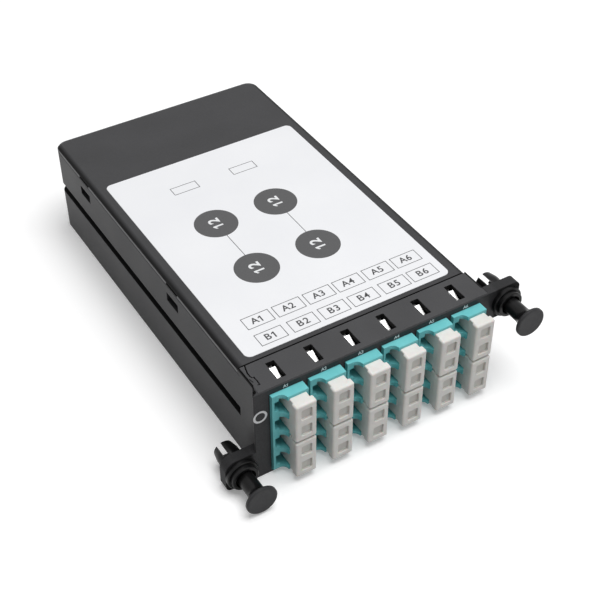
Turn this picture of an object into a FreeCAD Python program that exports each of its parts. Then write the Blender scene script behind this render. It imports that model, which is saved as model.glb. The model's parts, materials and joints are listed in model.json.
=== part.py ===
import FreeCAD, Part
import math
import os
import re
import Sketcher

# A fibre cassette for a rack panel: a moulded tray with a snapped lid, six quad LC adapters with
# duplex dust caps in its front, two push fasteners in staggered ears, two trunk adapters in its rear.
# Axes: X to the right of the front face, Y to the rear, Z up; the base plane is Z = 0 and the
# middle of the tray's depth is Y = 0. Pieces are drawn from the front face, at Y = 0 of their own.

SIZES = (
    ("body_width", 67.2, "across the side walls"),
    ("body_depth", 121.0, "front face to rear face"),
    ("body_height", 28.65, "base to the top of the lid"),
    ("wall_thick", 2.4, "side wall"),
    ("rear_thick", 2.0, "rear wall"),
    ("floor_thick", 1.0, "floor"),
    ("corner_radius", 3.0, "rear upright corners"),
    ("lid_lip", 0.55, "height of the lid above the wall tops"),
    ("lid_inner", 1.0, "thickness of the lid between the walls"),
    ("lid_gap", 0.1, "lid to wall, each side"),
    ("panel_flare", 1.7, "front panel beyond each side wall, at its face"),
    ("panel_thick", 3.0, "front panel and ears"),
    ("panel_edge", 0.5, "rounding of the upright front edges"),
    ("front_lip", 0.5, "strip of the panel in front of the shelf"),
    ("shelf_end", 10.2, "front face to the rear edge of the shelf"),
    ("shelf_thick", 1.5, "shelf plate"),
    ("seam", 0.1, "shelf to lid"),
    ("shelf_side", 0.3, "strip of the side wall beside the shelf"),
    ("shelf_gap", 0.08, "shelf to that strip"),
    ("corner_hole", 0.9, "radius of the recess at each front corner of the shelf"),
    ("window_left", 0.95, "window edge left of the adapter's middle"),
    ("window_right", 1.38, "window edge right of the adapter's middle"),
    ("window_front", 2.2, "front edge of a shelf window"),
    ("window_rear", 8.15, "rear edge of a shelf window"),
    ("groove_low", 12.8, "bottom of the rail groove"),
    ("groove_height", 2.9, "height of the rail groove"),
    ("groove_deep", 1.5, "depth of the rail groove"),
    ("groove_front", 9.65, "front end of the rail groove"),
    ("snap_drop", 4.1, "wall top to the top of the snap windows"),
    ("snap_height", 2.3, "height of the snap windows"),
    ("snap_length", 6.3, "length of the snap windows"),
    ("snap_front", 44.9, "front face to the middle of the front snap window"),
    ("snap_back", 21.3, "middle of the rear snap window to the rear face"),
    ("notch_height", 0.4, "slot in the wall top above each snap window"),
    ("notch_deep", 0.9, "depth of that slot"),
    ("hook_thick", 1.2, "snap hook of the lid"),
    ("hook_reach", 1.2, "how far a hook reaches into its window"),
    ("hook_gap", 0.2, "hook to window"),
    ("ear_length", 8.2, "ear beyond the side of the front panel"),
    ("ear_height", 9.3, "height of an ear"),
    ("ear_round", 3.0, "outer corner of an ear, towards the middle of the height"),
    ("ear_corner", 1.6, "outer corner of an ear, at the base or at the top"),
    ("fastener_in", 4.25, "end of an ear to its fastener's axis"),
    ("shank_radius", 3.1, "grommet in the ear"),
    ("shank_gap", 0.05, "grommet to ear"),
    ("pin_radius", 2.2, "plunger shaft"),
    ("pin_gap", 0.08, "plunger shaft to grommet"),
    ("flange_radius", 4.35, "grommet flange"),
    ("flange_thick", 1.2, "grommet flange"),
    ("collar_radius", 3.65, "grommet collar"),
    ("collar_thick", 1.2, "grommet collar"),
    ("finger_end", 9.0, "front face to the tips of the split fingers"),
    ("finger_tip", 2.65, "radius at the tips of the fingers"),
    ("finger_waist", 2.8, "radius of the fingers close behind the ear"),
    ("finger_bulge", 3.1, "radius of the fingers at their bulge, at rest"),
    ("bulge_at", 5.9, "front face to that bulge"),
    ("finger_slot", 1.3, "wide slot between the fingers"),
    ("finger_slit", 0.5, "narrow slot between the fingers"),
    ("knob_radius", 4.2, "plunger knob"),
    ("knob_front", 10.4, "front face to the face of the knob, pulled out"),
    ("knob_rim", 0.9, "thickness of the knob's rim"),
    ("flare_length", 3.2, "trumpet flare behind the knob"),
    ("pin_end", 1.6, "front face to the tip of the plunger, pulled out"),
    ("adapter_width", 9.0, "adapter in the panel"),
    ("adapter_low", 0.55, "base to the underside of an adapter in the panel"),
    ("adapter_over", 1.7, "top of an adapter to the top of the shelf"),
    ("adapter_proud", 2.8, "adapter in front of the panel"),
    ("adapter_gap", 0.05, "adapter to its opening, each side"),
    ("flange_step", 0.4, "adapter's flange beyond its side"),
    ("flange_space", 0.7, "flange to flange"),
    ("flange_gap", 0.05, "outermost flange to the side wall, at least"),
    ("flange_deep", 1.6, "depth of the adapter's flange"),
    ("adapter_rear", 25.2, "front face to the rear of the adapter"),
    ("inner_step", 0.7, "adapter is lower behind the panel, above and below"),
    ("cutback", 1.1, "latch side of the adapter in front of the panel"),
    ("cutback_width", 1.55, "straight part of the cut-back corner"),
    ("port_rise", 0.25, "middle of the ports above the middle of the adapter"),
    ("port_pitch", 6.25, "port to port"),
    ("lead_in", 0.9, "slope under the adapter's front, in depth and in height"),
    ("port_height", 4.7, "port"),
    ("port_left", 2.7, "port edge left of the adapter's middle"),
    ("port_right", 3.85, "port edge right of the adapter's middle"),
    ("port_x", 1.45, "port axis right of the adapter's middle"),
    ("latch_left", 3.9, "latch slot edge left of the adapter's middle"),
    ("latch_height", 3.0, "latch slot"),
    ("web_front", 10.0, "front of the wall between front and rear ports"),
    ("web_thick", 2.4, "wall between front and rear ports"),
    ("ferrule_bore", 0.8, "radius of the ferrule passage"),
    ("clip_thick", 0.3, "spring clip sheet"),
    ("clip_width", 1.85, "spring clip"),
    ("clip_inset", 0.2, "clip to the left edge of its window"),
    ("clip_front", 4.2, "front bend of the spring clip"),
    ("clip_rise", 1.2, "height that the free end of the clip rises"),
    ("clip_run", 2.7, "length over which it rises"),
    ("clip_seat", 11.0, "rear end of the clip's seat"),
    ("cap_left", 1.25, "cap edge left of the adapter's middle"),
    ("cap_width", 5.85, "front block of a cap"),
    ("cap_height", 11.95, "cap over two ports"),
    ("cap_front", 6.45, "front face of a cap, from the panel"),
    ("cap_deep", 1.9, "front block of a cap"),
    ("cap_edge", 0.45, "rounding of the front block"),
    ("neck_width", 4.7, "neck of a cap"),
    ("cap_gap", 0.05, "neck of a cap to the adapter"),
    ("pocket_width", 3.15, "pocket in the front of a cap"),
    ("pocket_height", 3.35, "pocket in the front of a cap"),
    ("pocket_deep", 0.5, "pocket in the front of a cap"),
    ("pocket_off", 2.7, "middle of a pocket from the cap's middle"),
    ("pocket_right", 0.1, "pocket right of the middle of the cap"),
    ("prong_size", 4.4, "prong of a cap, and the plug's body"),
    ("prong_end", 6.0, "front face to the end of a prong"),
    ("prong_bore", 1.7, "radius of the bore in a prong"),
    ("plug_gap", 0.3, "plug or trunk cap to the wall inside its adapter"),
    ("plug_end", 33.0, "front face to the rear of a plug's body"),
    ("boot_radius", 1.3, "plug boot"),
    ("boot_end", 45.0, "front face to the rear of a plug's boot"),
    ("latch_thick", 0.9, "plug latch"),
    ("label_side", 3.5, "label to the side of the lid"),
    ("label_depth", 81.0, "label"),
    ("label_front", 11.67, "front edge of the label"),
    ("label_thick", 0.15, "label"),
    ("label_round", 3.5, "corner of the label"),
    ("trunk_x", 14.0, "middle to a trunk adapter"),
    ("trunk_z", 14.3, "height of the trunk adapters"),
    ("trunk_width", 12.8, "trunk adapter"),
    ("trunk_height", 9.0, "trunk adapter"),
    ("trunk_length", 28.0, "trunk adapter"),
    ("trunk_proud", 4.0, "trunk adapter behind the rear face"),
    ("trunk_flange", 16.6, "trunk adapter flange"),
    ("trunk_flange_deep", 1.5, "trunk adapter flange"),
    ("trunk_flange_up", 1.0, "that flange above and below the adapter"),
    ("trunk_bore_width", 10.0, "socket of a trunk adapter"),
    ("trunk_bore_height", 7.0, "socket of a trunk adapter"),
    ("trunk_bore_deep", 12.5, "socket of a trunk adapter"),
    ("trunk_play", 0.1, "plug to socket, each side"),
    ("trunk_plug_proud", 9.0, "trunk plug in front of its adapter"),
    ("trunk_cap_rim", 1.2, "rim of a trunk cap"),
    ("trunk_cap_in", 0.2, "rim of a trunk cap inside the adapter's outline"),
    ("leg_radius", 0.45, "fibre leg"),
    ("leg_pitch", 1.6, "leg to leg at the trunk plug, across"),
    ("leg_row", 1.2, "leg to leg at the trunk plug, upwards"),
    ("leg_bend", 7.0, "straight run at each end of a leg"),
)

os.makedirs("parts", exist_ok=True)
doc = FreeCAD.newDocument("FibreCassette")
sheet = doc.addObject("Spreadsheet::Sheet", "Sizes")
for row, (alias, number, meaning) in enumerate(SIZES, 1):
    sheet.set(f"A{row}", alias)
    sheet.set(f"B{row}", str(number))
    sheet.set(f"C{row}", meaning)
    sheet.setAlias(f"B{row}", alias)
doc.recompute()

ALIASES = {alias for alias, number, meaning in SIZES}
PORTS = (-1.5, -0.5, 0.5, 1.5)
SIDES = (("left", -1), ("right", 1))
TURNS = {
    "x": FreeCAD.Rotation(FreeCAD.Vector(0, 1, 0), 90),
    "y": FreeCAD.Rotation(FreeCAD.Vector(1, 0, 0), -90),
    "z": FreeCAD.Rotation(),
}
nodes = []


def size(alias):
    """The number in the sheet under this alias."""
    return float(sheet.get(alias))


def formula(text):
    """An expression in which each alias is read from the sheet."""
    return re.sub(
        r"[a-z_][a-z0-9_]*",
        lambda found: "Sizes." + found.group() if found.group() in ALIASES else found.group(),
        str(text),
    )


def bind(thing, path, text):
    thing.setExpression(path, formula(text))


def place(thing, x, z):
    """Puts a piece at this place across and up, and its front face at the front of the tray."""
    bind(thing, "Placement.Base.x", x)
    bind(thing, "Placement.Base.y", "-body_depth/2")
    bind(thing, "Placement.Base.z", z)


def new_body(node, x="0", z="0"):
    body = doc.addObject("PartDesign::Body", node)
    body.Label = node
    place(body, x, z)
    nodes.append(body)
    return body


def block(body, name, across, along, up, cut=False):
    """A box between two limits on each axis, added to the body or cut from it."""
    box = body.newObject("PartDesign::SubtractiveBox" if cut else "PartDesign::AdditiveBox", name)
    for length, axis, (low, high) in (
        ("Length", "x", across),
        ("Width", "y", along),
        ("Height", "z", up),
    ):
        bind(box, length, f"({high})-({low})")
        bind(box, "Placement.Base." + axis, low)
    return box


def rod(body, name, axis, start, radius, length, cut=False):
    """A cylinder from its start along one axis, added to the body or cut from it."""
    kind = "PartDesign::SubtractiveCylinder" if cut else "PartDesign::AdditiveCylinder"
    cylinder = body.newObject(kind, name)
    cylinder.Placement = FreeCAD.Placement(FreeCAD.Vector(), TURNS[axis])
    bind(cylinder, "Radius", radius)
    bind(cylinder, "Height", length)
    for letter, at in zip("xyz", start):
        bind(cylinder, "Placement.Base." + letter, at)
    return cylinder


def outline(body, plane, name, points):
    """A closed sketch of straight lines on one of the body's origin planes."""
    sketch = body.newObject("Sketcher::SketchObject", name)
    support = next(item for item in body.Origin.OriginFeatures if item.Role == plane)
    sketch.AttachmentSupport = [(support, "")]
    sketch.MapMode = "FlatFace"
    count = len(points)
    ring = [
        FreeCAD.Vector(math.cos(2 * math.pi * k / count), math.sin(2 * math.pi * k / count), 0)
        for k in range(count)
    ]
    for k in range(count):
        sketch.addGeometry(Part.LineSegment(ring[k], ring[(k + 1) % count]), False)
    for k in range(count):
        sketch.addConstraint(Sketcher.Constraint("Coincident", k, 2, (k + 1) % count, 1))
    for k, (across, up) in enumerate(points):
        for kind, label, at, start in (
            ("DistanceX", f"across{k}", across, ring[k].x),
            ("DistanceY", f"up{k}", up, ring[k].y),
        ):
            index = sketch.addConstraint(Sketcher.Constraint(kind, -1, 1, k, 1, start))
            sketch.renameConstraint(index, label)
            bind(sketch, "Constraints." + label, at)
    return sketch


def pad(body, sketch, name, length, both_ways=False):
    feature = body.newObject("PartDesign::Pad", name)
    feature.Profile = sketch
    if both_ways:
        feature.Midplane = True
    bind(feature, "Length", length)
    return feature


def revolve(body, sketch, name):
    """The sketch, on the XY plane, turned once about the Y axis."""
    feature = body.newObject("PartDesign::Revolution", name)
    feature.Profile = sketch
    feature.ReferenceAxis = (sketch, ["V_Axis"])
    feature.Angle = 360
    return feature


def rounded(body, radius, chosen):
    """Rounds the edges of the body's last feature that the function picks."""
    doc.recompute()
    last = body.Tip
    box = last.Shape.BoundBox
    picked = [
        f"Edge{number}"
        for number, edge in enumerate(last.Shape.Edges, 1)
        if chosen(edge.BoundBox, box)
    ]
    if not picked:
        raise ValueError("no edge to round on " + body.Label)
    feature = body.newObject("PartDesign::Fillet", "Rounding")
    feature.Base = (last, picked)
    bind(feature, "Radius", radius)
    return feature


def near(first, second):
    return abs(first - second) < 0.001


def upright(edge):
    return edge.XLength < 0.001 and edge.YLength < 0.001


# As many adapters as fit side by side between the walls.
PITCH = "(adapter_width+2*flange_step+flange_space)"
pitch = size("adapter_width") + 2 * size("flange_step") + size("flange_space")
room = size("body_width") - 2 * size("wall_thick") - 2 * size("flange_gap")
count = int((room + size("flange_space")) / pitch + 0.0001)
COLUMNS = range(count)


def adapter_x(column):
    return f"{column - (count - 1) / 2}*{PITCH}"


# Levels and widths that several pieces share.
HALF = "body_width/2"
INSIDE = f"({HALF}-wall_thick)"
WALL_TOP = "(body_height-lid_lip)"
SHELF_UNDER = "(body_height-shelf_thick)"
LID_FRONT = "(shelf_end+seam)"
EAR_Z = {"left": "ear_height/2", "right": "(body_height-ear_height/2)"}
TRUNK_END = "(body_depth+trunk_proud)"
TRUNK_PLUG_FRONT = f"({TRUNK_END}-trunk_length-trunk_plug_proud)"
PANEL_SIDE = f"({HALF}+panel_flare)"
EAR_END = f"({PANEL_SIDE}+ear_length)"
FASTENER_X = f"({EAR_END}-fastener_in)"
SEAT_SIDE = f"({HALF}-shelf_side)"
SHELF_SIDE = f"({SEAT_SIDE}-shelf_gap)"
ADAPTER_TOP = "(body_height-adapter_over)"
PORT_MID = f"((adapter_low+{ADAPTER_TOP})/2+port_rise)"
SNAP_LOW = f"({WALL_TOP}-snap_drop-snap_height)"
SNAPS = ("snap_front", "(body_depth-snap_back)")
ear_end = size("body_width") / 2 + size("panel_flare") + size("ear_length")
port_mid = (size("adapter_low") + size("body_height") - size("adapter_over")) / 2 + size("port_rise")

# Base tray: floor, walls and the front panel with its ears are one moulding.
tray = new_body("base_tray")
plan = outline(
    tray,
    "XY_Plane",
    "TrayPlan",
    (
        ("-" + PANEL_SIDE, "0"),
        (PANEL_SIDE, "0"),
        (HALF, "panel_thick"),
        (HALF, "body_depth"),
        ("-" + HALF, "body_depth"),
        ("-" + HALF, "panel_thick"),
    ),
)
pad(tray, plan, "TrayBlock", "body_height")
rounded(tray, "corner_radius", lambda e, b: upright(e) and near(e.YMax, b.YMax))
rounded(tray, "panel_edge", lambda e, b: upright(e) and near(e.YMin, b.YMin))
block(
    tray,
    "TopCut",
    ("-body_width", "body_width"),
    (f"{LID_FRONT}-seam/2", "body_depth+1"),
    (WALL_TOP, "body_height+1"),
    cut=True,
)
block(
    tray,
    "ShelfSeat",
    ("-" + SEAT_SIDE, SEAT_SIDE),
    ("front_lip", f"{LID_FRONT}-seam/2"),
    (SHELF_UNDER, "body_height+1"),
    cut=True,
)
block(
    tray,
    "Inside",
    ("-" + INSIDE, INSIDE),
    ("panel_thick", "body_depth-rear_thick"),
    ("floor_thick", "body_height+1"),
    cut=True,
)
for column in COLUMNS:
    middle = adapter_x(column)
    reach = "(adapter_width/2+adapter_gap)"
    block(
        tray,
        f"AdapterOpening{column + 1}",
        (f"{middle}-{reach}", f"{middle}+{reach}"),
        ("-1", "panel_thick+1"),
        ("adapter_low-adapter_gap", f"{ADAPTER_TOP}+adapter_gap"),
        cut=True,
    )
    block(
        tray,
        f"OpeningTop{column + 1}",
        (f"{middle}-{reach}", f"{middle}+{reach}"),
        ("front_lip", "panel_thick+1"),
        (PORT_MID, "body_height"),
        cut=True,
    )
for side, low, high in (
    ("left", "0", "ear_height"),
    ("right", "body_height-ear_height", "body_height"),
):
    across = ("-" + EAR_END, "-" + HALF) if side == "left" else (HALF, EAR_END)
    block(tray, f"Ear_{side}", across, ("0", "panel_thick"), (low, high))
for radius, left_z in (("ear_round", size("ear_height")), ("ear_corner", 0)):
    right_z = size("body_height") - left_z
    rounded(
        tray,
        radius,
        lambda e, b: e.XLength < 0.001
        and e.ZLength < 0.001
        and near(e.YLength, size("panel_thick"))
        and (
            (near(e.XMin, -ear_end) and near(e.ZMin, left_z))
            or (near(e.XMax, ear_end) and near(e.ZMax, right_z))
        ),
    )
for side, sign in SIDES:
    rod(
        tray,
        f"EarHole_{side}",
        "y",
        (f"{sign}*{FASTENER_X}", "-1", EAR_Z[side]),
        "shank_radius+shank_gap",
        "panel_thick+2",
        cut=True,
    )
    edge = f"{sign}*{HALF}"
    groove = (f"{HALF}-groove_deep", f"{HALF}+1")
    notch = (f"{HALF}-notch_deep", f"{HALF}+1")
    wall = (f"{INSIDE}-0.1", f"{HALF}+1")
    if sign < 0:
        groove, notch, wall = (
            tuple(f"-({limit})" for limit in reversed(pair)) for pair in (groove, notch, wall)
        )
    block(
        tray,
        f"RailGroove_{side}",
        groove,
        ("groove_front", "body_depth+1"),
        ("groove_low", "groove_low+groove_height"),
        cut=True,
    )
    for number, middle in enumerate(SNAPS, 1):
        span = (f"{middle}-snap_length/2", f"{middle}+snap_length/2")
        block(
            tray,
            f"SnapWindow_{side}{number}",
            wall,
            span,
            (SNAP_LOW, f"{SNAP_LOW}+snap_height"),
            cut=True,
        )
        block(
            tray,
            f"TopNotch_{side}{number}",
            notch,
            span,
            (f"{WALL_TOP}-notch_height", "body_height"),
            cut=True,
        )
    block(
        tray,
        f"TrunkOpening_{side}",
        (
            f"{sign}*trunk_x-trunk_width/2-trunk_play",
            f"{sign}*trunk_x+trunk_width/2+trunk_play",
        ),
        ("body_depth-rear_thick-1", "body_depth+1"),
        (
            "trunk_z-trunk_height/2-trunk_play",
            "trunk_z+trunk_height/2+trunk_play",
        ),
        cut=True,
    )
    rod(
        tray,
        f"CornerHole_{side}",
        "z",
        (f"{sign}*({PANEL_SIDE}-corner_hole)", "corner_hole/2", f"{SHELF_UNDER}-1"),
        "corner_hole",
        "shelf_thick+2",
        cut=True,
    )

# Front shelf: the plate over the adapters, with a window above each spring clip.
shelf = new_body("front_shelf")
block(
    shelf,
    "ShelfPlate",
    ("-" + SHELF_SIDE, SHELF_SIDE),
    ("front_lip", "shelf_end"),
    (SHELF_UNDER, "body_height"),
)
for column in COLUMNS:
    middle = adapter_x(column)
    block(
        shelf,
        f"ClipWindow{column + 1}",
        (f"{middle}-window_left", f"{middle}+window_right"),
        ("window_front", "window_rear"),
        (f"{SHELF_UNDER}-1", "body_height+1"),
        cut=True,
    )

# Cover lid: it lies on the wall tops, reaches down between them and hooks into the snap windows.
lid = new_body("cover_lid")
block(
    lid,
    "LidPlate",
    ("-" + HALF, HALF),
    (LID_FRONT, "body_depth"),
    (WALL_TOP, "body_height"),
)
rounded(lid, "corner_radius", lambda e, b: upright(e) and near(e.YMax, b.YMax))
rounded(
    lid,
    "lid_lip*0.9",
    lambda e, b: near(e.ZMin, b.ZMax) and e.YMax > b.YMin + 0.001,
)
block(
    lid,
    "LidInner",
    (f"-({INSIDE}-lid_gap)", f"{INSIDE}-lid_gap"),
    (LID_FRONT, "body_depth-rear_thick-lid_gap"),
    (f"{WALL_TOP}-lid_inner", WALL_TOP),
)
for side, sign in SIDES:
    face = f"({INSIDE}-lid_gap)"
    stem = (f"{face}-hook_thick", face)
    barb = (face, f"{face}+hook_reach")
    if sign < 0:
        stem, barb = (tuple(f"-({limit})" for limit in reversed(pair)) for pair in (stem, barb))
    for number, middle in enumerate(SNAPS, 1):
        half = "(snap_length/2-hook_gap)"
        span = (f"{middle}-{half}", f"{middle}+{half}")
        block(
            lid,
            f"HookStem_{side}{number}",
            stem,
            span,
            (f"{SNAP_LOW}+hook_gap", f"{WALL_TOP}-lid_inner"),
        )
        block(
            lid,
            f"HookBarb_{side}{number}",
            barb,
            span,
            (f"{SNAP_LOW}+hook_gap", f"{SNAP_LOW}+snap_height-hook_gap"),
        )

# Label sheet on the lid.
label = new_body("label_sheet")
block(
    label,
    "Sheet",
    (f"-({HALF}-label_side)", f"{HALF}-label_side"),
    ("label_front", "label_front+label_depth"),
    ("body_height", "body_height+label_thick"),
)
rounded(label, "label_round", lambda e, b: upright(e))


def quad_adapter(node, column):
    """One adapter with four ports in each end, latch side to the left."""
    body = new_body(node, adapter_x(column), PORT_MID)
    half = "adapter_width/2"
    low = f"(adapter_low-{PORT_MID})"
    high = f"({ADAPTER_TOP}-{PORT_MID})"
    side = outline(
        body,
        "YZ_Plane",
        "FrontSide",
        (
            ("-adapter_proud", high),
            ("-adapter_proud", f"{low}+lead_in"),
            ("-lead_in", f"{low}+lead_in"),
            ("0", low),
            ("panel_thick", low),
            ("panel_thick", high),
        ),
    )
    pad(body, side, "FrontBlock", "adapter_width", both_ways=True)
    inner = (f"{low}+inner_step", f"{high}-inner_step")
    block(
        body,
        "Flange",
        (f"-{half}-flange_step", f"{half}+flange_step"),
        ("panel_thick", "panel_thick+flange_deep"),
        inner,
    )
    block(
        body,
        "RearBlock",
        ("-" + half, half),
        ("panel_thick+flange_deep", "adapter_rear"),
        inner,
    )
    block(
        body,
        "CutBack",
        (f"-{half}-1", f"-{half}+cutback_width"),
        ("-adapter_proud-1", "-cutback"),
        ("-body_height", "body_height"),
        cut=True,
    )
    rod(
        body,
        "CutBackCurve",
        "z",
        (f"-{half}+cutback_width", "-adapter_proud", "-body_height"),
        "adapter_proud-cutback",
        "2*body_height",
        cut=True,
    )
    for number, step in enumerate(PORTS, 1):
        level = f"{step}*port_pitch"
        tall = (f"{level}-port_height/2", f"{level}+port_height/2")
        slot = (f"{level}-latch_height/2", f"{level}+latch_height/2")
        for end, along in (
            ("Front", ("-adapter_proud-1", "web_front")),
            ("Rear", ("web_front+web_thick", "adapter_rear+1")),
        ):
            block(body, f"{end}Port{number}", ("-port_left", "port_right"), along, tall, cut=True)
            block(body, f"{end}Latch{number}", ("-latch_left", "0"), along, slot, cut=True)
        rod(
            body,
            f"FerruleBore{number}",
            "y",
            ("port_x", "web_front-1", level),
            "ferrule_bore",
            "web_thick+2",
            cut=True,
        )


def spring_clip(node, column):
    """A hairpin of spring sheet on top of the adapter, its free end rising in the shelf window."""
    body = new_body(node, adapter_x(column), f"{ADAPTER_TOP}-inner_step")
    side = outline(
        body,
        "YZ_Plane",
        "ClipSide",
        (
            ("clip_seat", "0"),
            ("clip_front", "0"),
            ("clip_front", "clip_thick"),
            ("clip_front+clip_run", "clip_rise+clip_thick"),
            ("clip_front+clip_run+0.7*clip_thick", "clip_rise+0.3*clip_thick"),
            ("clip_front+1.6*clip_thick", "clip_thick"),
            ("clip_seat", "clip_thick"),
        ),
    )
    bind(side, "AttachmentOffset.Base.z", "-window_left+clip_inset")
    pad(body, side, "ClipSheet", "clip_width")


def plug_set(node, column):
    """Four separate plugs in the rear of one adapter: body, latch and boot."""
    body = new_body(node, adapter_x(column), PORT_MID)
    front = "web_front+web_thick+plug_gap"
    for number, step in enumerate(PORTS, 1):
        level = f"{step}*port_pitch"
        block(
            body,
            f"PlugBody{number}",
            ("port_x-prong_size/2", "port_x+prong_size/2"),
            (front, "plug_end"),
            (f"{level}-prong_size/2", f"{level}+prong_size/2"),
        )
        block(
            body,
            f"PlugLatch{number}",
            ("-latch_left+latch_thick", "port_x-prong_size/2"),
            ("adapter_rear-2", "plug_end-1"),
            (f"{level}-latch_thick", f"{level}+latch_thick"),
        )
        rod(
            body,
            f"PlugBoot{number}",
            "y",
            ("port_x", "plug_end", level),
            "boot_radius",
            "boot_end-plug_end",
        )


def duplex_cap(node, column, level):
    """A dust cap over two ports: front block with two pockets, neck and two hollow prongs."""
    body = new_body(node, adapter_x(column), level)
    right = "-cap_left+cap_width"
    block(
        body,
        "Block",
        ("-cap_left", right),
        ("-cap_front", "-cap_front+cap_deep"),
        ("-cap_height/2", "cap_height/2"),
    )
    rounded(body, "cap_edge", lambda e, b: e.YLength > 0.001 or near(e.YMax, b.YMin))
    middle = "port_x"
    pocket_x = "(-cap_left+cap_width/2+pocket_right)"
    block(
        body,
        "Neck",
        (f"{middle}-neck_width/2", f"{middle}+neck_width/2"),
        ("-cap_front+cap_deep", "-adapter_proud-cap_gap"),
        ("-cap_height/2", "cap_height/2"),
    )
    for name, step in (("Low", -1), ("High", 1)):
        level = f"{step}*port_pitch/2"
        block(
            body,
            f"Prong{name}",
            (f"{middle}-prong_size/2", f"{middle}+prong_size/2"),
            ("-adapter_proud-cap_gap", "prong_end"),
            (f"{level}-prong_size/2", f"{level}+prong_size/2"),
        )
        rod(
            body,
            f"ProngBore{name}",
            "y",
            (middle, "-adapter_proud", level),
            "prong_bore",
            "prong_end+adapter_proud+1",
            cut=True,
        )
        pocket = f"{step}*pocket_off"
        block(
            body,
            f"Pocket{name}",
            (f"{pocket_x}-pocket_width/2", f"{pocket_x}+pocket_width/2"),
            ("-cap_front-1", "-cap_front+pocket_deep"),
            (f"{pocket}-pocket_height/2", f"{pocket}+pocket_height/2"),
            cut=True,
        )


for column in COLUMNS:
    quad_adapter(f"lc_adapter_{column + 1}", column)
for column in COLUMNS:
    spring_clip(f"adapter_clip_{column + 1}", column)
for column in COLUMNS:
    plug_set(f"lc_plugs_{column + 1}", column)
for column in COLUMNS:
    duplex_cap(f"dust_cap_a{column + 1}", column, f"{PORT_MID}+port_pitch")
    duplex_cap(f"dust_cap_b{column + 1}", column, f"{PORT_MID}-port_pitch")


def grommet(side, sign):
    """Flange and collar in front of the ear, shank through it, split fingers behind."""
    body = new_body(f"{side}_grommet", f"{sign}*{FASTENER_X}", EAR_Z[side])
    turn = FreeCAD.Rotation(FreeCAD.Vector(0, 1, 0), -30)
    body.Placement = FreeCAD.Placement(body.Placement.Base, turn)
    bore = "(pin_radius+pin_gap)"
    profile = outline(
        body,
        "XY_Plane",
        "GrommetProfile",
        (
            (bore, "finger_end"),
            (bore, "-flange_thick"),
            (f"{bore}+0.5", "-flange_thick-collar_thick"),
            ("collar_radius", "-flange_thick-collar_thick"),
            ("collar_radius", "-flange_thick"),
            ("flange_radius", "-flange_thick"),
            ("flange_radius", "0"),
            ("shank_radius", "0"),
            ("shank_radius", "panel_thick+0.3"),
            ("finger_waist", "panel_thick+0.9"),
            ("finger_bulge", "bulge_at"),
            ("finger_tip", "finger_end"),
        ),
    )
    revolve(body, profile, "GrommetRing")
    for name, across, up in (
        ("SlitAcross", "flange_radius", "finger_slit/2"),
        ("SlotUp", "finger_slot/2", "flange_radius"),
    ):
        block(
            body,
            name,
            (f"-{across}", across),
            ("panel_thick+0.5", "finger_end+1"),
            (f"-{up}", up),
            cut=True,
        )


def plunger(side, sign):
    """Knob, trumpet flare and shaft, pulled out to the front."""
    body = new_body(f"{side}_plunger", f"{sign}*{FASTENER_X}", EAR_Z[side])
    flare = [
        (
            f"pin_radius+(knob_radius-pin_radius)*{round((1 - part) ** 2.4, 4)}",
            f"-knob_front+knob_rim+flare_length*{part}",
        )
        for part in (0, 0.1, 0.22, 0.36, 0.52, 0.72, 1)
    ]
    profile = outline(
        body,
        "XY_Plane",
        "PlungerProfile",
        [("0", "-knob_front"), ("knob_radius-0.25", "-knob_front"), ("knob_radius", "-knob_front+0.25")]
        + flare
        + [("pin_radius", "pin_end-1"), ("pin_radius*0.6", "pin_end"), ("0", "pin_end")],
    )
    revolve(body, profile, "PlungerTurned")


for side, sign in SIDES:
    grommet(side, sign)
for side, sign in SIDES:
    plunger(side, sign)


def trunk_adapter(node, sign):
    """Rear adapter with a flange inside the rear wall and a socket in each end."""
    body = new_body(node, f"{sign}*trunk_x", "trunk_z")
    start = f"{TRUNK_END}-trunk_length"
    block(
        body,
        "Shell",
        ("-trunk_width/2", "trunk_width/2"),
        (start, TRUNK_END),
        ("-trunk_height/2", "trunk_height/2"),
    )
    block(
        body,
        "Flange",
        ("-trunk_flange/2", "trunk_flange/2"),
        ("body_depth-rear_thick-trunk_flange_deep", "body_depth-rear_thick"),
        ("-trunk_height/2-trunk_flange_up", "trunk_height/2+trunk_flange_up"),
    )
    for name, along in (
        ("InnerSocket", (f"{start}-1", f"{start}+trunk_bore_deep")),
        ("OuterSocket", (f"{TRUNK_END}-trunk_bore_deep", f"{TRUNK_END}+1")),
    ):
        block(
            body,
            name,
            ("-trunk_bore_width/2", "trunk_bore_width/2"),
            along,
            ("-trunk_bore_height/2", "trunk_bore_height/2"),
            cut=True,
        )


def trunk_plug(node, sign):
    """Plug in the inner socket, with the fan-out block that the legs leave."""
    body = new_body(node, f"{sign}*trunk_x", "trunk_z")
    start = f"{TRUNK_END}-trunk_length"
    half_width = "(trunk_bore_width/2-trunk_play)"
    half_height = "(trunk_bore_height/2-trunk_play)"
    block(
        body,
        "PlugShell",
        ("-" + half_width, half_width),
        (TRUNK_PLUG_FRONT, f"{start}+trunk_bore_deep-plug_gap"),
        ("-" + half_height, half_height),
    )


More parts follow.
